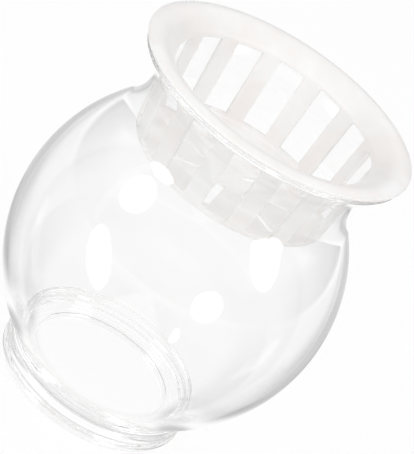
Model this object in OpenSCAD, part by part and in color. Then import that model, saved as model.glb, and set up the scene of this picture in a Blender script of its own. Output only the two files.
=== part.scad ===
// Hydroponic glass vase: a clear globe with a ribbed foot and a flared neck, and a slotted planting
// basket that hangs in the neck by its wide rim. Millimetres, +Z up, the foot stands on Z = 0.

/* [Globe] */
// Outer diameter of the globe at its widest
globe_d = 120; // [100:1:150]
// How much the side curve's radius exceeds half of globe_d, which makes the globe stand a little tall
side_extra_r = 6.3; // [0:0.1:15]
// Thickness of the glass wall in the globe, the neck and the flare
glass_wall = 2.2; // [1.6:0.1:3]

/* [Foot] */
// Diameter over the ribs of the foot
foot_d = 73.6; // [66:0.2:84]
// Height of the foot, up to where the globe starts
foot_h = 11.4; // [9:0.2:18]
// Number of rounded ribs round the foot
rib_count = 3; // [2:1:4]
// Depth of the grooves between the ribs
rib_depth = 0.8; // [0.4:0.1:1]
// Width of the bottom of each groove
groove_w = 0.4; // [0.2:0.1:1]
// Width of the flat ring that the vase stands on
foot_land = 7.5; // [4:0.5:14]
// Depth of the hollow inside that ring
recess_h = 3; // [1:0.2:4]
// Thickness of the glass floor over the hollow
floor_t = 5; // [3:0.2:7]
// Radius of the bowl curve between the inner floor and the wall
bowl_r = 12; // [6:0.5:16]

/* [Neck] */
// Outer diameter of the neck at its narrowest
neck_d = 82.4; // [70:0.2:92]
// Radius of the hollow curve from the globe up to the neck
shoulder_r = 17; // [10:0.5:26]
// Radius of the flare, on the outside
flare_r = 20.5; // [17:0.5:28]
// How far the flare leans out at the lip
flare_angle = 53.5; // [48:0.5:62]
// How far the fire-polished bead round the lip stands proud of each side of the wall
lip_proud = 0.2; // [0.1:0.05:0.6]

/* [Basket] */
// Thickness of the basket's moulded wall, floor and rim
basket_wall = 1.3; // [1:0.1:1.8]
// Height of the basket from its underside to the top of the rim
basket_h = 35.6; // [28:0.2:60]
// Gap between the basket's wall and the narrowest part of the neck
neck_clearance = 0.75; // [0.4:0.05:3]
// Draft of the basket's wall
wall_taper = 5.5; // [1:0.5:7]
// Number of tall slots round the wall
slot_count = 14; // [8:1:20]
// Width of a slot as a share of the distance from one slot to the next
slot_share = 0.583; // [0.3:0.01:0.75]
// Closed band of wall below the slots, measured from the underside
foot_band_h = 3; // [2:0.2:8]
// Closed band of wall between the slots and the throat
head_band_h = 0.3; // [0.2:0.1:6]
// How far the basket is turned in the neck
basket_turn = 3.84; // [0:0.01:25.7]

/* [Basket rim] */
// How far the rim reaches out past the glass lip
rim_overhang = 0.85; // [0:0.05:3]
// Radius of the rim's crowned section
crown_r = 8; // [6:0.5:10]
// How far the rim's ridge lies inside the middle of the glass lip
ridge_in = 1.25; // [0:0.05:3]
// Slope of the funnel inside the rim
funnel_angle = 40; // [32:1:55]
// Radius of the bend from the funnel into the wall
throat_r = 2; // [1.5:0.1:4]

/* [Basket floor] */
// Radius of the bend from the wall into the floor
corner_r = 2; // [1.5:0.1:5]
// Number of narrow drain slots in the floor
drain_count = 7; // [4:1:10]
// Width of a drain slot
drain_w = 3; // [1.5:0.1:4]
// Distance from the middle of the floor to the near end of a drain slot
drain_in = 10; // [8:0.5:14]
// Solid floor between a drain slot and the corner bend
drain_margin = 6; // [3:0.5:12]

/* [Hidden] */
$fn = 96;

// Gap that keeps the rim just clear of the glass it rests on
seat_gap = 0.3;
// Overrun of every cut
cut = 1;
// Greatest distance between an arc of an outline and its chords
arc_tol = 0.02;

// Foot: a core with rounded ribs on it
foot_r = foot_d / 2;
core_r = foot_r - rib_depth;
recess_r = core_r - foot_land;
rib_pitch = foot_h / rib_count;
rib_half_h = (rib_pitch - groove_w) / 2;
rib_r = (pow(rib_half_h, 2) + pow(rib_depth, 2)) / (2 * rib_depth);
rib_angle = acos(1 - rib_depth / rib_r);

// Globe: the side is an arc whose centre lies past the axis, and it starts on top of the foot's core
globe_r = globe_d / 2;
side_r = globe_r + side_extra_r;
inner_side_r = side_r - glass_wall;
globe_c = [-side_extra_r, foot_h + sqrt(pow(side_r, 2) - pow(core_r + side_extra_r, 2))];
foot_angle = atan2(foot_h - globe_c[1], core_r - globe_c[0]);

// Floor of the vase: the bowl curve touches the flat floor and the inside of the wall
floor_z = recess_h + floor_t;
bowl_z = floor_z + bowl_r;
bowl_c = [globe_c[0] + sqrt(pow(inner_side_r - bowl_r, 2) - pow(globe_c[1] - bowl_z, 2)), bowl_z];
bowl_angle = atan2(bowl_c[1] - globe_c[1], bowl_c[0] - globe_c[0]);

// Neck: the shoulder's arc touches the globe's and ends at the narrowest point, where the flare starts
neck_r = neck_d / 2;
shoulder_x = neck_r + shoulder_r;
neck_z = globe_c[1] + sqrt(pow(side_r + shoulder_r, 2) - pow(shoulder_x - globe_c[0], 2));
shoulder_c = [shoulder_x, neck_z];
shoulder_angle = atan2(neck_z - globe_c[1], shoulder_x - globe_c[0]);
flare_c = [neck_r + flare_r, neck_z];

// Lip: a bead on the end of the flared wall
lip_bead_r = glass_wall / 2 + lip_proud;
lip_c = polar(flare_c, flare_r + glass_wall / 2, 180 - flare_angle);
lip_dip = acos(glass_wall / 2 / lip_bead_r);
lip_back = 2 * asin(lip_bead_r * sin(lip_dip) / flare_r);

// Rim of the basket: a crown over the glass lip, given by the middle of its wall
half_wall = basket_wall / 2;
crown_x = lip_c[0] - ridge_in;
crown_c = [crown_x, lip_c[1] - sqrt(pow(crown_r - half_wall - lip_bead_r - seat_gap, 2) - pow(ridge_in, 2))];
crown_end = polar(crown_c, crown_r, 90 + funnel_angle);
rim_r = lip_c[0] + lip_bead_r + rim_overhang;
rim_edge_angle = asin((rim_r - half_wall - crown_x) / crown_r);
rim_edge_c = polar(crown_c, crown_r, 90 - rim_edge_angle);
basket_z = crown_c[1] + crown_r + half_wall - basket_h;

// Wall of the basket: a straight line through the neck, with the throat and the corner bent off it
wall_x = neck_r - glass_wall - neck_clearance - half_wall / cos(wall_taper);
bend = polar([0, 0], throat_r, 180 - wall_taper) - polar([0, 0], throat_r, 90 + funnel_angle);
funnel_gap = crown_end[0] + bend[0] - wall_mid(crown_end[1] + bend[1]);
funnel_l = funnel_gap / (cos(funnel_angle) - sin(funnel_angle) * tan(wall_taper));
throat_c = polar(crown_end, funnel_l, 180 + funnel_angle) - polar([0, 0], throat_r, 90 + funnel_angle);
throat_z = throat_c[1] + throat_r * sin(wall_taper);
corner_z = basket_z + half_wall + corner_r;
corner_c = [wall_mid(corner_z) - corner_r / cos(wall_taper), corner_z];

// Slots of the basket
slot_pitch = 360 / slot_count;
slot_z = basket_z + foot_band_h;
slot_h = throat_z - head_band_h - slot_z;
drain_pitch = 360 / drain_count;
drain_out = corner_c[0] - drain_margin;

// Radius of the middle of the basket's wall at a height
function wall_mid(z) = wall_x + (z - neck_z) * tan(wall_taper);

// Point at a radius and an angle from a centre
function polar(c, r, a) = c + r * [cos(a), sin(a)];

// Points along an arc from angle a0 to angle a1, both ends included
function arc(c, r, a0, a1) =
    let (steps = max(2, ceil(abs(a1 - a0) / (2 * acos(1 - arc_tol / r)))))
    [for (i = [0 : steps]) polar(c, r, a0 + (a1 - a0) * i / steps)];

// An arc without its last point, for where the next arc starts on that point
function arc_part(c, r, a0, a1) =
    let (points = arc(c, r, a0, a1))
    [for (i = [0 : len(points) - 2]) points[i]];

// Outline of one rib of the foot
function rib(i) = arc([foot_r - rib_r, (i + 0.5) * rib_pitch], rib_r, -rib_angle, rib_angle);

// Section of the vase: up the outside from the hollow under the foot, round the lip, down the inside
module vase_section() {
    ribs = [for (i = [0 : rib_count - 1]) each rib(i)];
    polygon([
        [0, recess_h], [recess_r, recess_h], [recess_r, 0], [core_r, 0],
        each ribs,
        each arc_part(globe_c, side_r, foot_angle, shoulder_angle),
        each arc_part(shoulder_c, shoulder_r, 180 + shoulder_angle, 180),
        each arc(flare_c, flare_r, 180, 180 - flare_angle + lip_back),
        each arc(lip_c, lip_bead_r, -flare_angle - lip_dip, 180 - flare_angle + lip_dip),
        each arc_part(flare_c, flare_r + glass_wall, 180 - flare_angle + lip_back, 180),
        each arc_part(shoulder_c, shoulder_r + glass_wall, 180, 180 + shoulder_angle),
        each arc_part(globe_c, inner_side_r, shoulder_angle, bowl_angle),
        each arc(bowl_c, bowl_r, bowl_angle, -90),
        [0, floor_z]
    ]);
}

// Section of the basket: up the inside from the floor, over the crown, round the edge, down the outside
module basket_section() {
    polygon([
        [0, basket_z + basket_wall],
        each arc(corner_c, corner_r - half_wall, -90, -wall_taper),
        each arc(throat_c, throat_r + half_wall, 180 - wall_taper, 90 + funnel_angle),
        each arc_part(crown_c, crown_r + half_wall, 90 + funnel_angle, 90 - rim_edge_angle),
        each arc_part(rim_edge_c, half_wall, 90 - rim_edge_angle, -90 - rim_edge_angle),
        each arc(crown_c, crown_r - half_wall, 90 - rim_edge_angle, 90 + funnel_angle),
        each arc(throat_c, throat_r - half_wall, 90 + funnel_angle, 180 - wall_taper),
        each arc(corner_c, corner_r + half_wall, -wall_taper, -90),
        [0, basket_z]
    ]);
}

// One tall slot in the basket's wall, between two planes through the axis
module wall_slot() {
    half_angle = slot_share * slot_pitch / 2;
    translate([0, 0, slot_z])
        linear_extrude(slot_h)
            polygon([[0, 0], polar([0, 0], rim_r, -half_angle), polar([0, 0], rim_r, half_angle)]);
}

// One drain slot in the basket's floor, along +X with round ends
module drain_slot() {
    translate([0, 0, basket_z - cut])
        linear_extrude(basket_wall + 2 * cut) {
            translate([drain_in, -drain_w / 2]) square([drain_out - drain_in, drain_w]);
            translate([drain_in, 0]) circle(drain_w / 2);
            translate([drain_out, 0]) circle(drain_w / 2);
        }
}

// The vase, one piece of clear glass
module glass_vase() {
    color([0.86, 0.9, 0.9, 0.35])
        rotate_extrude() vase_section();
}

// The planting basket, one moulding in frosted polypropylene
module planting_basket() {
    color([0.93, 0.93, 0.91, 0.8])
        rotate([0, 0, basket_turn - 90])
            difference() {
                rotate_extrude() basket_section();
                for (i = [0 : slot_count - 1]) rotate([0, 0, i * slot_pitch]) wall_slot();
                for (i = [0 : drain_count - 1]) rotate([0, 0, (i + 0.5) * drain_pitch]) drain_slot();
            }
}

glass_vase();
planting_basket();
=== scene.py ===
"""Hydroponic glass vase: a blown globe vase and the planting basket that hangs in its neck."""

import math

import bpy
from bpy.props import FloatProperty, FloatVectorProperty, IntProperty, PointerProperty
from mathutils import Matrix, Vector


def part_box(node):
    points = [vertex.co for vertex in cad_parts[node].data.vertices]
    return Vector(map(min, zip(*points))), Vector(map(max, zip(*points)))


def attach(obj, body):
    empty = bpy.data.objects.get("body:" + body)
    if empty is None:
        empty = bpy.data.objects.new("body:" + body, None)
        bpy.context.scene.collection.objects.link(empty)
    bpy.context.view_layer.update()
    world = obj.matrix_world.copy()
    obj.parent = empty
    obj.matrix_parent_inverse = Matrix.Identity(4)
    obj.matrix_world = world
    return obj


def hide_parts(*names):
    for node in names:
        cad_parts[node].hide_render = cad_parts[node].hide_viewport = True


bl_info = {
    "name": "Hydroponic Glass Vase",
    "version": (1, 0, 0),
    "blender": (4, 5, 0),
    "location": "View3D > Sidebar > Vase",
    "description": "Models a blown glass globe vase and the slotted planting basket in its neck",
    "category": "Add Mesh",
}

MM = 0.001

# Longest steps along a curve: on the large curves, on the ribs and bends, and on the lip's bead. Even the
# shortest curve has LEAST_STEPS.
FINE = 0.9 * MM
FINER = 0.3 * MM
FINEST = 0.2 * MM
LEAST_STEPS = 3

# Stretches that a straight line is cut into, so that its faces aren't long slivers.
FLOOR_PARTS = 8
SLOT_PARTS = 12
FUNNEL_PARTS = 3

# Faces across the rounding of an edge, and points round a drain slot.
FOOT_EDGE_PARTS = 4
RIM_EDGE_PARTS = 5
MOULDED_EDGE_PARTS = 3
DRAIN_POINTS = 24

# Points closer than WELD are one point. A line shorter than SHORTEST isn't drawn. NEAR and CLOSE say how far
# a point may lie from a place in the outline and still be picked as being there.
WELD = 0.002 * MM
SHORTEST = 0.02 * MM
NEAR = 0.01 * MM
CLOSE = 0.05 * MM

# Edges that turn more than the first two stay sharp in the shading of the glass and of the basket. The
# basket's edges that turn more than ROUNDED get a moulded edge.
GLASS_CREASE = math.radians(40)
BASKET_CREASE = math.radians(50)
ROUNDED = math.radians(60)

# How far red, green and blue spread in the plastic, as shares of the scatter. Blue goes least far.
SPREAD = (1.0, 0.98, 0.95)

WHITE = (1, 1, 1, 1)

# Each softbox: its name, azimuth and elevation in degrees, width and height in metres, and radiance.
SOFTBOXES = (
    ("key softbox", -52, 31, (0.4, 0.38), 4.0),
    ("tall softbox", 68, 38, (0.37, 0.74), 3.0),
    ("small softbox", -68, 56, (0.18, 0.16), 4.0),
)

# The camera's frame in millimetres and how far it sees in metres.
SENSOR = 36
VIEW_END = 20

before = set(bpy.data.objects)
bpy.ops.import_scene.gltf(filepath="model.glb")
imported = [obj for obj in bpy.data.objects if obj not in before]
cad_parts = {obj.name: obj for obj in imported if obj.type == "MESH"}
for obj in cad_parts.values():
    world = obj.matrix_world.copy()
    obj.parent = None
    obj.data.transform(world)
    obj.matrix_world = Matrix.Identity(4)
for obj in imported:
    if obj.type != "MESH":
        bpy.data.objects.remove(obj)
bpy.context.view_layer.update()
VASE_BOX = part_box("glass_vase")


def length(name, value, description):
    """A length property in metres, from a value in millimetres."""
    return FloatProperty(name=name, description=description, default=value * MM, unit="LENGTH", precision=5)


def angle(name, value, description):
    """An angle property, from a value in degrees."""
    return FloatProperty(name=name, description=description, default=math.radians(value), unit="ROTATION")


def share(name, value, description):
    """A number without a unit."""
    return FloatProperty(name=name, description=description, default=value)


def count(name, value, description, least=1):
    """A whole number that is at least so large."""
    return IntProperty(name=name, description=description, default=value, min=least)


def linear(hex_colour):
    """Linear RGBA of an sRGB hex colour."""
    channels = [int(hex_colour[i : i + 2], 16) / 255 for i in (1, 3, 5)]
    return [c / 12.92 if c <= 0.04045 else ((c + 0.055) / 1.055) ** 2.4 for c in channels] + [1.0]


def colour(name, hex_colour, description):
    """A colour property, from an sRGB hex value."""
    return FloatVectorProperty(
        name=name, description=description, default=linear(hex_colour), size=4, subtype="COLOR", min=0, max=1
    )


class VaseSizes(bpy.types.PropertyGroup):
    """Sizes and colour of the blown glass vase."""

    globe_r: length("Globe radius", round(VASE_BOX[1].x / MM, 3), "Outer radius of the globe at its widest")
    side_extra_r: length("Side curve extra", 6.3, "How much the side curve's radius exceeds the globe's")
    wall: length("Wall", 2.2, "Thickness of the glass wall")
    foot_r: length("Foot radius", 36.8, "Radius over the ribs of the foot")
    foot_h: length("Foot height", 11.4, "Height at which the globe starts")
    rib_count: count("Ribs", 3, "Number of rounded ribs round the foot")
    rib_depth: length("Rib depth", 0.8, "Depth of the grooves between the ribs")
    rib_share: share("Rib share", 0.88, "Share of a rib's curve that bulges, the rest is the valley's")
    land: length("Standing ring", 7.5, "Width of the ring that the vase stands on")
    recess_h: length("Hollow", 3, "Depth of the hollow under the foot")
    floor_t: length("Floor", 5, "Thickness of the glass floor over the hollow")
    bowl_r: length("Bowl curve", 12, "Radius between the inner floor and the wall")
    neck_r: length("Neck radius", 41.2, "Outer radius of the neck at its narrowest")
    shoulder_r: length("Shoulder curve", 17, "Radius of the curve from the globe up to the neck")
    flare_r: length("Flare curve", 20.5, "Radius of the flare, on the outside")
    flare_angle: angle("Flare angle", 53.5, "How far the flare leans out at the lip")
    lip_proud: length("Lip bead", 0.2, "How far the fire-polished bead stands proud of the wall")
    edge_h: length("Foot chamfer", 0.4, "Height and width of the chamfer under the lowest rib")
    edge_r: length("Foot edge", 0.35, "Rounding of the edges that the vase stands on")
    steps: count("Steps", 192, "Steps of the spin round the axis", least=24)
    tint: colour("Glass", "#FDFDFD", "Colour that the clear glass gives what is seen through it")
    ripple: length("Ripple", 22, "Distance between the soft ripples of blown glass")
    ripple_depth: length("Ripple depth", 0.05, "Depth of those ripples")


class BasketSizes(bpy.types.PropertyGroup):
    """Sizes and colour of the moulded planting basket."""

    wall: length("Wall", 1.3, "Thickness of the moulded wall")
    height: length("Height", 35.6, "From the underside to the top of the rim")
    seat_gap: length("Seat gap", 0.3, "Gap between the rim and the glass lip")
    neck_clearance: length("Neck clearance", 0.75, "Gap between the wall and the narrowest part of the neck")
    taper: angle("Draft", 5.5, "Draft of the wall")
    slot_count: count("Slots", 14, "Number of tall slots round the wall", least=3)
    slot_share: share("Slot share", 0.583, "Width of a slot as a share of the distance between slots")
    foot_band: length("Lower band", 3, "Closed wall below the slots")
    head_band: length("Upper band", 0.3, "Closed wall between the slots and the throat")
    turn: angle("Turn", 3.84, "How far the basket is turned in the neck")
    rim_overhang: length("Rim overhang", 0.85, "How far the rim reaches past the glass lip")
    crown_r: length("Crown", 8, "Radius of the rim's crowned section")
    ridge_in: length("Ridge inset", 1.25, "How far the ridge lies inside the middle of the lip")
    funnel: angle("Funnel", 40, "Slope of the funnel inside the rim")
    throat_r: length("Throat", 2, "Radius of the bend from the funnel into the wall")
    corner_r: length("Corner", 2, "Radius of the bend from the wall into the floor")
    drain_count: count("Drains", 7, "Number of drain slots in the floor")
    drain_w: length("Drain width", 3, "Width of a drain slot")
    drain_in: length("Drain start", 10, "Distance from the middle to a drain slot")
    drain_margin: length("Drain margin", 6, "Solid floor between a drain slot and the corner bend")
    edge_r: length("Moulded edge", 0.2, "Rounding of the slots' moulded edges")
    rim_edge_r: length("Rim edge", 0.55, "Rounding of the rim's outer edge")
    slat_steps: count("Slat steps", 6, "Steps of the spin across a slat", least=2)
    slot_steps: count("Slot steps", 8, "Steps of the spin across a slot", least=2)
    plastic: colour("Plastic", "#F8F7F6", "Colour of the frosted polypropylene between the milky clouds")
    plastic_thick: colour("Plastic, milky", "#F3EFED", "Its colour where the milky resin is denser")
    flow: length("Flow marks", 16, "Distance between the soft clouds that the resin's flow leaves")
    cloud_from: share("Clouds from", 0.35, "Value of the flow pattern at which the resin starts to be milky")
    cloud_to: share("Clouds to", 0.65, "Value of the flow pattern from which it is wholly milky")
    sheen_low: share("Smoothest", 0.30, "Roughness of the plastic where it shines most")
    sheen_high: share("Roughest", 0.42, "Roughness of the plastic where it shines least")
    body_light: share("Inner light", 0.9, "Share of the light that is scattered inside the plastic")
    scatter: length("Scatter", 2, "How far light spreads inside the plastic")
    grain: length("Spark grain", 0.45, "Distance between the grains of the mould's spark-eroded finish")
    grain_depth: length("Grain depth", 0.01, "Depth of that grain")
    grain_share: share("Grain strength", 0.4, "How much of that depth the light shows")


class StageSizes(bpy.types.PropertyGroup):
    """Camera, floor and lights."""

    camera_at: FloatVectorProperty(
        name="Camera", description="Place of the camera", default=(0, -0.6042, 0.3954), unit="LENGTH"
    )
    aim: FloatVectorProperty(
        name="Aim",
        description="Point that the camera looks at",
        default=(0.00357, 0.0051, 0.0757),
        unit="LENGTH",
    )
    roll: angle("Roll", 34.37, "How far the camera leans")
    lens: FloatProperty(
        name="Lens", description="Focal length in millimetres on a 36 mm frame", default=156.25
    )
    floor: colour("Floor", "#FFFFFF", "Colour of the floor")
    floor_size: length("Floor size", 6000, "Side of the floor")
    floor_gap: length("Floor gap", 0.05, "How far the floor lies under the foot, to keep them apart")
    shadow_lift: share("Shadow lift", 0.9, "How far the shadow on the floor is lifted")
    path_half: length("Path", 50, "Half the width of the white paper between the flag cards")
    edge_at: length("Card edge", 72, "Distance from the middle at which a flag card is darkest")
    edge_grey: share("Card edge grey", 0.5, "Brightness of the flag cards along their inner edge")
    flag_in: length("Flag from", 88, "Distance from the middle at which a flag card is fully grey")
    flag_out: length("Flag to", 135, "Distance from the middle at which it ends")
    side_from: length("Sides", 200, "Distance from which the floor beside it shows")
    card_to: length("Card length", 500, "Distance to the front and back at which the cards start to end")
    card_gone: length("Card end", 1000, "Distance to the front and back at which the floor is all white")
    flag_spread: share("Flag spread", 0.25, "How far the cards move aside for each unit that they lie behind")
    flag_grey: share("Flags", 0.64, "Brightness of the flag cards")
    side_grey: share("Floor beside", 0.78, "Brightness of the floor beside them, as glass shows it")
    # A painted shadow in the paper's light at each side of the foot, which only glass and gloss see.
    contact_x: length("Shadow at", 39, "Distance from the middle to the shadow at each side of the foot")
    contact_y: length("Shadow back", -8, "How far behind the middle that shadow lies, less than 0 in front")
    contact_w: length("Shadow width", 10, "How far that shadow reaches aside")
    contact_l: length("Shadow length", 20, "How far it reaches to the front and back")
    contact_core: share("Shadow core", 0.4, "Share of its reach in which it is darkest")
    painted_shadow_grey: share("Shadow grey", 0.6, "Brightness of the paper in that shadow, as glass shows it")
    room_grey: share("Room", 0.7, "Brightness of the room in front, low down, as glass shows it")
    wall_grey: share("Wall", 0.18, "Brightness of the wall behind, low down, as glass shows it")
    room_to: share("Room to", -0.2, "How far back the room reaches, from -1 in front to 1 behind")
    wall_from: share("Wall from", 0.5, "Where the wall behind is fully dim, from -1 in front to 1 behind")
    wall_top: share("Wall top", 0.22, "Sine of the height at which the studio starts to turn white")
    ceiling_from: share("Ceiling from", 0.45, "Sine of the height from which it is white")
    ceiling: share("Ceiling", 1.0, "Brightness of the studio overhead, as glass shows it")
    daylight: share("Daylight", 0.92, "Strength of the soft light that falls on the vase")
    side_light: share("Side light", 0.25, "Strength of that light from the two sides, past the flag cards")
    aside_from: share("Aside from", 0.3, "How far aside the daylight starts to weaken, from 0 to 1")
    aside_to: share("Aside to", 0.9, "How far aside it is down to the side light, from 0 to 1")
    lamp_aim: length("Lamp aim", 62, "Height of the point that the softboxes look at")
    lamp_away: length("Lamp distance", 1000, "Distance of the softboxes from that point")
    bounces: count("Bounces", 224, "How often light may turn on its way along the inside of the glass")
    soft_bounces: count("Soft bounces", 12, "How often light may be scattered by paper and plastic")


class Outline:
    """An outline in the XZ plane of a new object in edit mode, drawn stretch by stretch from its start."""

    def __init__(self, name, start):
        if bpy.context.object and bpy.context.object.mode == "EDIT":
            bpy.ops.object.mode_set(mode="OBJECT")
        bpy.ops.object.select_all(action="DESELECT")
        bpy.ops.mesh.primitive_plane_add(size=MM, location=(start[0], 0, start[1]))
        self.piece = bpy.context.object
        self.piece.name = self.piece.data.name = name
        bpy.ops.object.mode_set(mode="EDIT")
        bpy.ops.mesh.select_mode(type="VERT")
        bpy.ops.mesh.merge(type="CENTER")
        self.here = start

    def line(self, end, parts=1):
        """Draws a straight stretch to the end point, or moves the last point there if it all but is there."""
        move = ((end[0] - self.here[0]) / parts, 0, (end[1] - self.here[1]) / parts)
        if math.hypot(move[0], move[2]) < SHORTEST:
            bpy.ops.transform.translate(value=move)
        else:
            for _ in range(parts):
                bpy.ops.mesh.extrude_vertices_move(TRANSFORM_OT_translate={"value": move})
        self.here = end

    def arc(self, centre, radius, start, end, fine=FINE):
        """Draws an arc round a centre between two angles, which are 0 outwards and grow upwards."""
        self.line(polar(centre, radius, start))
        steps = max(LEAST_STEPS, math.ceil(abs(end - start) * radius / fine))
        bpy.ops.mesh.spin(steps=steps, angle=end - start, center=(centre[0], 0, centre[1]), axis=(0, 1, 0))
        self.here = polar(centre, radius, end)


def spin_round(turn, steps, copies=False):
    """Spins what is selected round the axis, or copies it round the axis without skinning it."""
    bpy.ops.mesh.spin(steps=steps, angle=turn, dupli=copies, center=(0, 0, 0), axis=(0, 0, -1))


def polar(centre, radius, a):
    """Point at a radius and an angle from a centre in the outline's plane."""
    return centre[0] + radius * math.cos(a), centre[1] + radius * math.sin(a)


def select_where(piece, test, mode="VERT"):
    """Selects what passes the test: vertices, edges by both their ends, or faces by their middle."""
    bpy.ops.mesh.select_all(action="DESELECT")
    bpy.ops.mesh.select_mode(type=mode)
    bpy.ops.object.mode_set(mode="OBJECT")
    mesh, place = piece.data, piece.matrix_world
    if mode == "VERT":
        for v in mesh.vertices:
            v.select = test(place @ v.co)
    elif mode == "EDGE":
        for e in mesh.edges:
            e.select = all(test(place @ mesh.vertices[i].co) for i in e.vertices)
    else:
        for f in mesh.polygons:
            f.select = test(place @ f.center)
    bpy.ops.object.mode_set(mode="EDIT")


def close_up(piece):
    """Merges doubled points, points the faces outwards and applies the object's place."""
    bpy.ops.mesh.select_all(action="SELECT")
    bpy.ops.mesh.remove_doubles(threshold=WELD)
    bpy.ops.mesh.normals_make_consistent(inside=False)
    bpy.ops.object.mode_set(mode="OBJECT")
    bpy.ops.object.transform_apply(location=True, rotation=True, scale=True)


def modifier(piece, kind, **settings):
    """Adds a modifier, sets it and applies it."""
    bpy.ops.object.modifier_add(type=kind)
    made = piece.modifiers[-1]
    for key, value in settings.items():
        setattr(made, key, value)
    bpy.ops.object.modifier_apply(modifier=made.name)


def add_node(tree, kind, settings=(), links=(), **values):
    """Adds a node with its settings, its input values and links from other nodes' outputs."""
    node = tree.nodes.new(kind)
    for key, value in dict(settings).items():
        setattr(node, key, value)
    for key, value in values.items():
        node.inputs[key.replace("_", " ")].default_value = value
    for key, source in dict(links).items():
        tree.links.new(source, node.inputs[key])
    return node


def new_material(name):
    """An empty node material and its output node."""
    material = bpy.data.materials.new(name)
    material.use_nodes = True
    material.node_tree.nodes.clear()
    return material, material.node_tree, material.node_tree.nodes.new("ShaderNodeOutputMaterial")


def blown_glass(sizes):
    """Clear soda-lime glass, blown in a mould and fire-polished: smooth and without colour of its own, with a
    slow ripple that bends what shows through."""
    material, tree, output = new_material("Blown soda-lime glass")
    place = add_node(tree, "ShaderNodeTexCoord")
    ripple = add_node(
        tree,
        "ShaderNodeTexNoise",
        links={"Vector": place.outputs["Object"]},
        Scale=1 / sizes.ripple,
        Detail=1.0,
    )
    bump = add_node(
        tree,
        "ShaderNodeBump",
        links={"Height": ripple.outputs["Fac"]},
        Strength=1.0,
        Distance=sizes.ripple_depth,
    )
    glass = add_node(
        tree,
        "ShaderNodeBsdfPrincipled",
        links={"Normal": bump.outputs["Normal"]},
        Base_Color=sizes.tint,
        Roughness=0.0,
        IOR=1.52,
        Transmission_Weight=1.0,
    )
    tree.links.new(glass.outputs["BSDF"], output.inputs["Surface"])
    return material


def frosted_polypropylene(sizes):
    """Translucent polypropylene, injection moulded in a spark-eroded tool: milky, with a soft sheen that
    varies slowly and a very fine grain. The grain is drawn coarser than the real one, or it wouldn't show."""
    material, tree, output = new_material("Frosted polypropylene")
    place = add_node(tree, "ShaderNodeTexCoord")
    grain, flow = [
        add_node(
            tree, "ShaderNodeTexNoise", links={"Vector": place.outputs["Object"]}, Scale=1 / size, Detail=2.0
        )
        for size in (sizes.grain, sizes.flow)
    ]
    sheen = add_node(
        tree,
        "ShaderNodeMapRange",
        links={"Value": flow.outputs["Fac"]},
        To_Min=sizes.sheen_low,
        To_Max=sizes.sheen_high,
    )
    milk = add_node(
        tree,
        "ShaderNodeMapRange",
        links={"Value": flow.outputs["Fac"]},
        From_Min=sizes.cloud_from,
        From_Max=sizes.cloud_to,
    )
    cloudy = add_node(
        tree,
        "ShaderNodeMixRGB",
        links={"Fac": milk.outputs["Result"]},
        Color1=sizes.plastic,
        Color2=sizes.plastic_thick,
    )
    bump = add_node(
        tree,
        "ShaderNodeBump",
        links={"Height": grain.outputs["Fac"]},
        Strength=sizes.grain_share,
        Distance=sizes.grain_depth,
    )
    plastic = add_node(
        tree,
        "ShaderNodeBsdfPrincipled",
        links={
            "Base Color": cloudy.outputs["Color"],
            "Roughness": sheen.outputs["Result"],
            "Normal": bump.outputs["Normal"],
        },
        IOR=1.49,
        Subsurface_Weight=sizes.body_light,
        Subsurface_Radius=SPREAD,
        Subsurface_Scale=sizes.scatter,
    )
    tree.links.new(plastic.outputs["BSDF"], output.inputs["Surface"])
    return material


def what_sees(tree):
    """Two outputs: one is 1 for the camera's own rays, the other is 1 for its rays that glass or gloss has
    sent on. Both are 0 for light that falls on a surface, also where it comes through glass."""
    path = add_node(tree, "ShaderNodeLightPath")
    turned = add_node(
        tree,
        "ShaderNodeMath",
        {"operation": "MAXIMUM"},
        {0: path.outputs["Is Glossy Ray"], 1: path.outputs["Is Transmission Ray"]},
    )
    # Diffuse Depth counts how often a ray was scattered, so less than half means never.
    view = add_node(tree, "ShaderNodeMath", {"operation": "LESS_THAN"}, {0: path.outputs["Diffuse Depth"]})
    view.inputs[1].default_value = 0.5
    in_glass = add_node(
        tree,
        "ShaderNodeMath",
        {"operation": "MULTIPLY"},
        {0: turned.outputs["Value"], 1: view.outputs["Value"]},
    )
    return path.outputs["Is Camera Ray"], in_glass.outputs["Value"]


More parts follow.
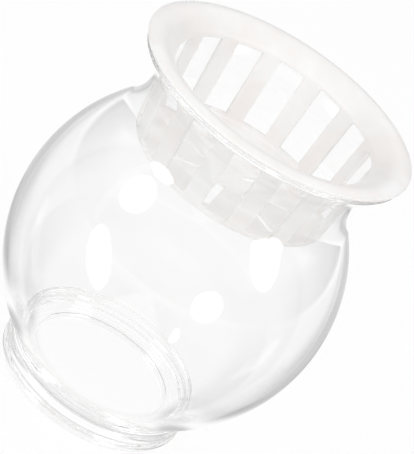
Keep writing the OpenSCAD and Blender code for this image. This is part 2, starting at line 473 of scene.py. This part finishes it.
def studio_floor(sizes):
    """White paper with the soft shadow of the vase. Glass and gloss show it with a grey flag card at each
    side, which draws the soft grey edges of clear glass, and a small painted shadow at each side of the foot."""
    material, tree, output = new_material("White paper sweep")
    camera, glass = what_sees(tree)
    place = add_node(tree, "ShaderNodeTexCoord")
    axes = add_node(tree, "ShaderNodeSeparateXYZ", links={"Vector": place.outputs["Object"]})
    folded = add_node(tree, "ShaderNodeVectorMath", {"operation": "ABSOLUTE"}, {0: place.outputs["Object"]})
    aside = add_node(tree, "ShaderNodeSeparateXYZ", links={"Vector": folded.outputs["Vector"]})
    behind = add_node(tree, "ShaderNodeMath", {"operation": "MAXIMUM"}, {0: axes.outputs["Y"]})
    behind.inputs[1].default_value = 0
    spread = add_node(tree, "ShaderNodeMath", {"operation": "MULTIPLY"}, {0: behind.outputs["Value"]})
    spread.inputs[1].default_value = -sizes.flag_spread
    across = add_node(
        tree, "ShaderNodeMath", {"operation": "ADD"}, {0: aside.outputs["X"], 1: spread.outputs["Value"]}
    )
    stops = (
        (sizes.path_half, 1.0),
        (sizes.edge_at, sizes.edge_grey),
        (sizes.flag_in, sizes.flag_grey),
        (sizes.flag_out, sizes.flag_grey),
        (sizes.side_from, sizes.side_grey),
    )
    ramp_end = 2 * sizes.side_from
    scaled = add_node(tree, "ShaderNodeMapRange", links={"Value": across.outputs["Value"]}, From_Max=ramp_end)
    cards = add_node(tree, "ShaderNodeValToRGB", links={"Fac": scaled.outputs["Result"]})
    cards.color_ramp.interpolation = "EASE"
    while len(cards.color_ramp.elements) < len(stops):
        cards.color_ramp.elements.new(0.5)
    for element, (distance, grey) in zip(cards.color_ramp.elements, stops):
        element.position = distance / ramp_end
        element.color = (grey, grey, grey, 1)
    paper = add_node(tree, "ShaderNodeBsdfDiffuse", Color=sizes.floor)
    white = add_node(tree, "ShaderNodeEmission", Strength=1.0)
    card_end = add_node(
        tree,
        "ShaderNodeMapRange",
        {"interpolation_type": "SMOOTHSTEP"},
        {"Value": aside.outputs["Y"]},
        From_Min=sizes.card_to,
        From_Max=sizes.card_gone,
    )
    open_floor = add_node(
        tree,
        "ShaderNodeMixRGB",
        links={"Fac": card_end.outputs["Result"], "Color1": cards.outputs["Color"]},
        Color2=WHITE,
    )
    # Painted shadow: the paper's light, as glass and gloss see it, is darkened in a patch at each side of the
    # foot. It stands in for the shade that the globe casts there.
    flat = add_node(tree, "ShaderNodeCombineXYZ", links={"X": aside.outputs["X"], "Y": axes.outputs["Y"]})
    off = add_node(tree, "ShaderNodeVectorMath", {"operation": "SUBTRACT"}, {0: flat.outputs["Vector"]})
    off.inputs[1].default_value = (sizes.contact_x, sizes.contact_y, 0)
    scaled_off = add_node(tree, "ShaderNodeVectorMath", {"operation": "DIVIDE"}, {0: off.outputs["Vector"]})
    scaled_off.inputs[1].default_value = (sizes.contact_w, sizes.contact_l, 1)
    reach = add_node(tree, "ShaderNodeVectorMath", {"operation": "LENGTH"}, {0: scaled_off.outputs["Vector"]})
    shade = add_node(
        tree,
        "ShaderNodeMapRange",
        {"interpolation_type": "SMOOTHSTEP"},
        {"Value": reach.outputs["Value"]},
        From_Min=sizes.contact_core,
        From_Max=1.0,
        To_Min=sizes.painted_shadow_grey,
        To_Max=1.0,
    )
    in_glass = add_node(
        tree,
        "ShaderNodeEmission",
        links={"Color": open_floor.outputs["Color"], "Strength": shade.outputs["Result"]},
    )
    keep = add_node(tree, "ShaderNodeMath", {"operation": "MULTIPLY"}, {0: camera})
    keep.inputs[1].default_value = sizes.shadow_lift
    lit = add_node(tree, "ShaderNodeMixShader", links={0: keep.outputs["Value"], 1: paper.outputs["BSDF"]})
    tree.links.new(white.outputs["Emission"], lit.inputs[2])
    shown = add_node(tree, "ShaderNodeMixShader", links={0: glass, 1: lit.outputs["Shader"]})
    tree.links.new(in_glass.outputs["Emission"], shown.inputs[2])
    tree.links.new(shown.outputs["Shader"], output.inputs["Surface"])
    return material


def studio_world(world, sizes):
    """A white studio, whose soft daylight is weaker from the two sides. Glass and gloss show it light grey in
    front and dim behind, low down, and white overhead."""
    world.use_nodes = True
    tree = world.node_tree
    tree.nodes.clear()
    output = tree.nodes.new("ShaderNodeOutputWorld")
    camera, glass = what_sees(tree)
    place = add_node(tree, "ShaderNodeTexCoord")
    axes = add_node(tree, "ShaderNodeSeparateXYZ", links={"Vector": place.outputs["Generated"]})
    wall = add_node(
        tree,
        "ShaderNodeMapRange",
        {"interpolation_type": "SMOOTHSTEP"},
        {"Value": axes.outputs["Y"]},
        From_Min=sizes.room_to,
        From_Max=sizes.wall_from,
        To_Min=sizes.room_grey,
        To_Max=sizes.wall_grey,
    )
    height = add_node(
        tree,
        "ShaderNodeMapRange",
        {"interpolation_type": "SMOOTHSTEP"},
        {"Value": axes.outputs["Z"], "To Min": wall.outputs["Result"]},
        From_Min=sizes.wall_top,
        From_Max=sizes.ceiling_from,
        To_Max=sizes.ceiling,
    )
    aside = add_node(tree, "ShaderNodeMath", {"operation": "ABSOLUTE"}, {0: axes.outputs["X"]})
    shaded = add_node(
        tree,
        "ShaderNodeMapRange",
        {"interpolation_type": "SMOOTHSTEP"},
        {"Value": aside.outputs["Value"]},
        From_Min=sizes.aside_from,
        From_Max=sizes.aside_to,
        To_Min=sizes.daylight,
        To_Max=sizes.side_light,
    )
    soft, room = [
        add_node(tree, "ShaderNodeBackground", links={"Strength": strength.outputs["Result"]}, Color=WHITE)
        for strength in (shaded, height)
    ]
    white = add_node(tree, "ShaderNodeBackground", Color=WHITE, Strength=1.0)
    shown = add_node(tree, "ShaderNodeMixShader", links={0: glass, 1: soft.outputs["Background"]})
    tree.links.new(room.outputs["Background"], shown.inputs[2])
    seen = add_node(tree, "ShaderNodeMixShader", links={0: camera, 1: shown.outputs["Shader"]})
    tree.links.new(white.outputs["Background"], seen.inputs[2])
    tree.links.new(seen.outputs["Shader"], output.inputs["Surface"])


def softbox(sizes, name, azimuth, elevation, size, radiance):
    """A softbox that looks at the globe. Azimuth 0 is in front of the vase and 90 to its right."""
    a, e = math.radians(azimuth), math.radians(elevation)
    way = Vector((math.sin(a) * math.cos(e), -math.cos(a) * math.cos(e), math.sin(e)))
    area = size[0] * size[1] * math.pi / 4
    bpy.ops.object.light_add(type="AREA", location=Vector((0, 0, sizes.lamp_aim)) + way * sizes.lamp_away)
    lamp = bpy.context.object
    lamp.name = name
    lamp.data.shape = "ELLIPSE"
    lamp.data.size, lamp.data.size_y = size
    lamp.data.energy = radiance * math.pi * area
    lamp.rotation_euler = way.to_track_quat("Z", "Y").to_euler()


class VASE_OT_blow_glass(bpy.types.Operator):
    """Models the vase: one outline drawn with arcs, spun round the axis"""

    bl_idname = "vase.blow_glass"
    bl_label = "Blow the glass vase"

    def execute(self, context):
        s = context.scene.vase_sizes
        core_r = s.foot_r - s.rib_depth
        recess_r = core_r - s.land
        pitch = s.foot_h / s.rib_count
        curves_r = (pitch**2 / 4 + s.rib_depth**2) / (2 * s.rib_depth)
        rib_r = curves_r * s.rib_share
        valley_r = curves_r - rib_r
        rib_a = math.asin(pitch / 2 / curves_r)
        side_r = s.globe_r + s.side_extra_r
        inner_r = side_r - s.wall
        globe = (-s.side_extra_r, s.foot_h + math.sqrt(side_r**2 - (core_r + s.side_extra_r) ** 2))
        foot_a = math.atan2(s.foot_h - globe[1], core_r - globe[0])
        floor_z = s.recess_h + s.floor_t
        bowl_z = floor_z + s.bowl_r
        bowl = (globe[0] + math.sqrt((inner_r - s.bowl_r) ** 2 - (globe[1] - bowl_z) ** 2), bowl_z)
        bowl_a = math.atan2(bowl[1] - globe[1], bowl[0] - globe[0])
        shoulder_x = s.neck_r + s.shoulder_r
        neck_z = globe[1] + math.sqrt((side_r + s.shoulder_r) ** 2 - (shoulder_x - globe[0]) ** 2)
        shoulder = (shoulder_x, neck_z)
        shoulder_a = math.atan2(neck_z - globe[1], shoulder_x - globe[0])
        flare = (s.neck_r + s.flare_r, neck_z)
        bead_r = s.wall / 2 + s.lip_proud
        bead = polar(flare, s.flare_r + s.wall / 2, math.pi - s.flare_angle)
        dip = math.acos(s.wall / 2 / bead_r)
        back = 2 * math.asin(bead_r * math.sin(dip) / s.flare_r)

        low_rib_a = math.asin((pitch / 2 - s.edge_h) / rib_r)
        foot_edge_x = s.foot_r - rib_r + rib_r * math.cos(low_rib_a) - s.edge_h

        outline = Outline("vase_glass", (0, s.recess_h))
        outline.line((recess_r, s.recess_h), FLOOR_PARTS)
        outline.line((recess_r, 0))
        outline.line((foot_edge_x, 0))
        for i in range(s.rib_count):
            rib = (s.foot_r - rib_r, (i + 0.5) * pitch)
            valley = (core_r + valley_r, (i + 1) * pitch)
            last = i == s.rib_count - 1
            outline.arc(rib, rib_r, -rib_a if i else -low_rib_a, rib_a, FINER)
            outline.arc(valley, valley_r, math.pi + rib_a, math.pi if last else math.pi - rib_a, FINER)
        outline.arc(globe, side_r, foot_a, shoulder_a)
        outline.arc(shoulder, s.shoulder_r, math.pi + shoulder_a, math.pi)
        outline.arc(flare, s.flare_r, math.pi, math.pi - s.flare_angle + back)
        outline.arc(bead, bead_r, -s.flare_angle - dip, math.pi - s.flare_angle + dip, FINEST)
        outline.arc(flare, s.flare_r + s.wall, math.pi - s.flare_angle + back, math.pi)
        outline.arc(shoulder, s.shoulder_r + s.wall, math.pi, math.pi + shoulder_a)
        outline.arc(globe, inner_r, shoulder_a, bowl_a)
        outline.arc(bowl, s.bowl_r, bowl_a, -math.pi / 2)
        outline.line((0, floor_z), FLOOR_PARTS)
        vase = outline.piece

        def pressed(p):
            return p.z < CLOSE and min(abs(p.x - recess_r), abs(p.x - foot_edge_x)) < NEAR

        select_where(vase, pressed)
        bpy.ops.mesh.bevel(offset=s.edge_r, segments=FOOT_EDGE_PARTS, affect="VERTICES")
        bpy.ops.mesh.select_all(action="SELECT")
        spin_round(2 * math.pi, s.steps)
        close_up(vase)
        bpy.ops.object.shade_smooth_by_angle(angle=GLASS_CREASE)
        vase.data.materials.append(blown_glass(s))
        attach(vase, "vase")
        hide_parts("glass_vase")
        return {"FINISHED"}


class VASE_OT_mould_basket(bpy.types.Operator):
    """Models the planting basket: the middle of its wall is spun slot by slot, opened and thickened"""

    bl_idname = "vase.mould_basket"
    bl_label = "Mould the planting basket"

    def execute(self, context):
        v = context.scene.vase_sizes
        s = context.scene.basket_sizes
        half = s.wall / 2
        side_r = v.globe_r + v.side_extra_r
        globe_z = v.foot_h + math.sqrt(side_r**2 - (v.foot_r - v.rib_depth + v.side_extra_r) ** 2)
        rise = (side_r + v.shoulder_r) ** 2 - (v.neck_r + v.shoulder_r + v.side_extra_r) ** 2
        neck_z = globe_z + math.sqrt(rise)
        bead_r = v.wall / 2 + v.lip_proud
        lip = polar((v.neck_r + v.flare_r, neck_z), v.flare_r + v.wall / 2, math.pi - v.flare_angle)
        crown_x = lip[0] - s.ridge_in
        reach = s.crown_r - half - bead_r - s.seat_gap
        crown = (crown_x, lip[1] - math.sqrt(reach**2 - s.ridge_in**2))
        edge_a = math.asin((lip[0] + bead_r + s.rim_overhang - half - crown_x) / s.crown_r)
        edge_a += half / s.crown_r
        funnel_top = polar(crown, s.crown_r, math.pi / 2 + s.funnel)
        base_z = crown[1] + s.crown_r + half - s.height
        slope = math.tan(s.taper)
        wall_x = v.neck_r - v.wall - s.neck_clearance - half / math.cos(s.taper)

        def wall_mid(z):
            return wall_x + (z - neck_z) * slope

        into = polar((0, 0), s.throat_r, math.pi / 2 + s.funnel)
        out = polar((0, 0), s.throat_r, math.pi - s.taper)
        gap = funnel_top[0] + out[0] - into[0] - wall_mid(funnel_top[1] + out[1] - into[1])
        run = gap / (math.cos(s.funnel) - math.sin(s.funnel) * slope)
        funnel_end = polar(funnel_top, run, math.pi + s.funnel)
        throat = (funnel_end[0] - into[0], funnel_end[1] - into[1])
        throat_z = throat[1] + out[1]
        corner_z = base_z + half + s.corner_r
        corner = (wall_mid(corner_z) - s.corner_r / math.cos(s.taper), corner_z)
        wall_end = polar(corner, s.corner_r, -s.taper)
        floor_z = base_z + half
        slot_low, slot_high = base_z + s.foot_band, throat_z - s.head_band

        edge = polar(crown, s.crown_r, math.pi / 2 - edge_a)
        outline = Outline("planting_basket_moulding", edge)
        basket = outline.piece
        outline.arc(crown, s.crown_r, math.pi / 2 - edge_a, math.pi / 2 + s.funnel)
        outline.line(funnel_end, FUNNEL_PARTS)
        outline.arc(throat, s.throat_r, math.pi / 2 + s.funnel, math.pi - s.taper, FINER)
        outline.line((wall_mid(slot_high), slot_high))
        outline.line((wall_mid(slot_low), slot_low), SLOT_PARTS)
        outline.line(wall_end)
        outline.arc(corner, s.corner_r, -s.taper, -math.pi / 2, FINER)

        pitch = 2 * math.pi / s.slot_count
        slot_turn = pitch * s.slot_share
        bpy.ops.mesh.select_all(action="SELECT")
        for _ in range(s.slot_count):
            spin_round(slot_turn, s.slot_steps)
            spin_round(pitch - slot_turn, s.slat_steps)
        bpy.ops.mesh.select_all(action="SELECT")
        bpy.ops.mesh.remove_doubles(threshold=WELD)

        def in_slot(p):
            around = math.atan2(p.y, p.x) % pitch
            return slot_low < p.z < slot_high and around < slot_turn

        select_where(basket, in_slot, "FACE")
        bpy.ops.mesh.delete(type="FACE")

        def in_floor(p):
            return abs(p.z - floor_z) < NEAR

        def drain_end(p):
            return in_floor(p) and p.x > s.drain_in and p.xy.length < s.drain_in + s.drain_w

        drain_l = corner[0] - s.drain_margin - s.drain_in
        bpy.ops.mesh.primitive_circle_add(
            vertices=DRAIN_POINTS, radius=s.drain_w / 2, location=(s.drain_in, 0, floor_z)
        )
        select_where(basket, drain_end)
        bpy.ops.transform.translate(value=(drain_l, 0, 0))

        def drain(p):
            return in_floor(p) and p.xy.length < s.drain_in + drain_l + s.drain_w

        select_where(basket, drain)
        drain_turn = 2 * math.pi / s.drain_count
        spin_round(2 * math.pi - drain_turn, s.drain_count - 1, copies=True)
        select_where(basket, in_floor)
        bpy.ops.mesh.fill(use_beauty=True)

        close_up(basket)
        modifier(
            basket, "SOLIDIFY", thickness=s.wall, offset=0, use_even_offset=True, use_quality_normals=True
        )
        bpy.ops.object.mode_set(mode="EDIT")
        rim_edges = [polar(edge, half * side, math.pi / 2 - edge_a) for side in (1, -1)]

        def rim_edge(p):
            return any(math.hypot(p.xy.length - x, p.z - z) < CLOSE for x, z in rim_edges)

        select_where(basket, rim_edge, "EDGE")
        bpy.ops.mesh.bevel(offset=s.rim_edge_r, segments=RIM_EDGE_PARTS, affect="EDGES")
        bpy.ops.object.mode_set(mode="OBJECT")
        modifier(
            basket,
            "BEVEL",
            width=s.edge_r,
            segments=MOULDED_EDGE_PARTS,
            limit_method="ANGLE",
            angle_limit=ROUNDED,
        )
        basket.rotation_euler.z = s.turn - math.pi / 2 - slot_turn / 2
        bpy.ops.object.transform_apply(location=True, rotation=True, scale=True)
        bpy.ops.object.shade_smooth_by_angle(angle=BASKET_CREASE)
        modifier(basket, "WEIGHTED_NORMAL", keep_sharp=True)
        basket.data.materials.append(frosted_polypropylene(s))
        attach(basket, "basket")
        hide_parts("planting_basket")
        return {"FINISHED"}


class VASE_OT_set_stage(bpy.types.Operator):
    """Sets the floor, the lights and the camera"""

    bl_idname = "vase.set_stage"
    bl_label = "Set the stage"

    def execute(self, context):
        s = context.scene.stage_sizes
        bpy.ops.object.select_all(action="DESELECT")
        bpy.ops.mesh.primitive_plane_add(size=s.floor_size, location=(0, 0, -s.floor_gap))
        floor = context.object
        floor.name = "floor"
        floor.data.materials.append(studio_floor(s))

        scene = context.scene
        world = bpy.data.worlds.new("Studio")
        scene.world = world
        studio_world(world, s)

        for box in SOFTBOXES:
            softbox(s, *box)

        bpy.ops.object.camera_add(location=s.camera_at)
        camera = context.object
        view = Vector(s.aim) - Vector(s.camera_at)
        camera.matrix_world = (
            Matrix.Translation(s.camera_at)
            @ view.to_track_quat("-Z", "Y").to_matrix().to_4x4()
            @ Matrix.Rotation(s.roll, 4, "Z")
        )
        camera.data.sensor_width = SENSOR
        camera.data.lens = s.lens
        camera.data.clip_end = VIEW_END
        scene.camera = camera
        scene.view_settings.view_transform = "Standard"
        # Light runs round inside the glass lip many times, and the lip turns dark where it is cut short.
        scene.cycles.max_bounces = s.bounces
        scene.cycles.transmission_bounces = s.bounces
        scene.cycles.glossy_bounces = s.bounces
        scene.cycles.diffuse_bounces = s.soft_bounces
        # This filter would roughen the glass in indirect light and darken the basket behind it.
        scene.cycles.blur_glossy = 0
        return {"FINISHED"}


class VASE_PT_panel(bpy.types.Panel):
    """Lists the steps that make the vase"""

    bl_label = "Hydroponic vase"
    bl_space_type = "VIEW_3D"
    bl_region_type = "UI"
    bl_category = "Vase"

    def draw(self, context):
        for step in (VASE_OT_blow_glass, VASE_OT_mould_basket, VASE_OT_set_stage):
            self.layout.operator(step.bl_idname)
        for group in (context.scene.vase_sizes, context.scene.basket_sizes, context.scene.stage_sizes):
            box = self.layout.box()
            for name in group.bl_rna.properties.keys():
                if name not in ("rna_type", "name"):
                    box.prop(group, name)


classes = (
    VaseSizes,
    BasketSizes,
    StageSizes,
    VASE_OT_blow_glass,
    VASE_OT_mould_basket,
    VASE_OT_set_stage,
    VASE_PT_panel,
)


def register():
    for cls in classes:
        bpy.utils.register_class(cls)
    bpy.types.Scene.vase_sizes = PointerProperty(type=VaseSizes)
    bpy.types.Scene.basket_sizes = PointerProperty(type=BasketSizes)
    bpy.types.Scene.stage_sizes = PointerProperty(type=StageSizes)


def unregister():
    del bpy.types.Scene.stage_sizes
    del bpy.types.Scene.basket_sizes
    del bpy.types.Scene.vase_sizes
    for cls in reversed(classes):
        bpy.utils.unregister_class(cls)


def main():
    register()
    bpy.ops.vase.blow_glass()
    bpy.ops.vase.mould_basket()
    bpy.ops.vase.set_stage()


if __name__ == "__main__":
    main()
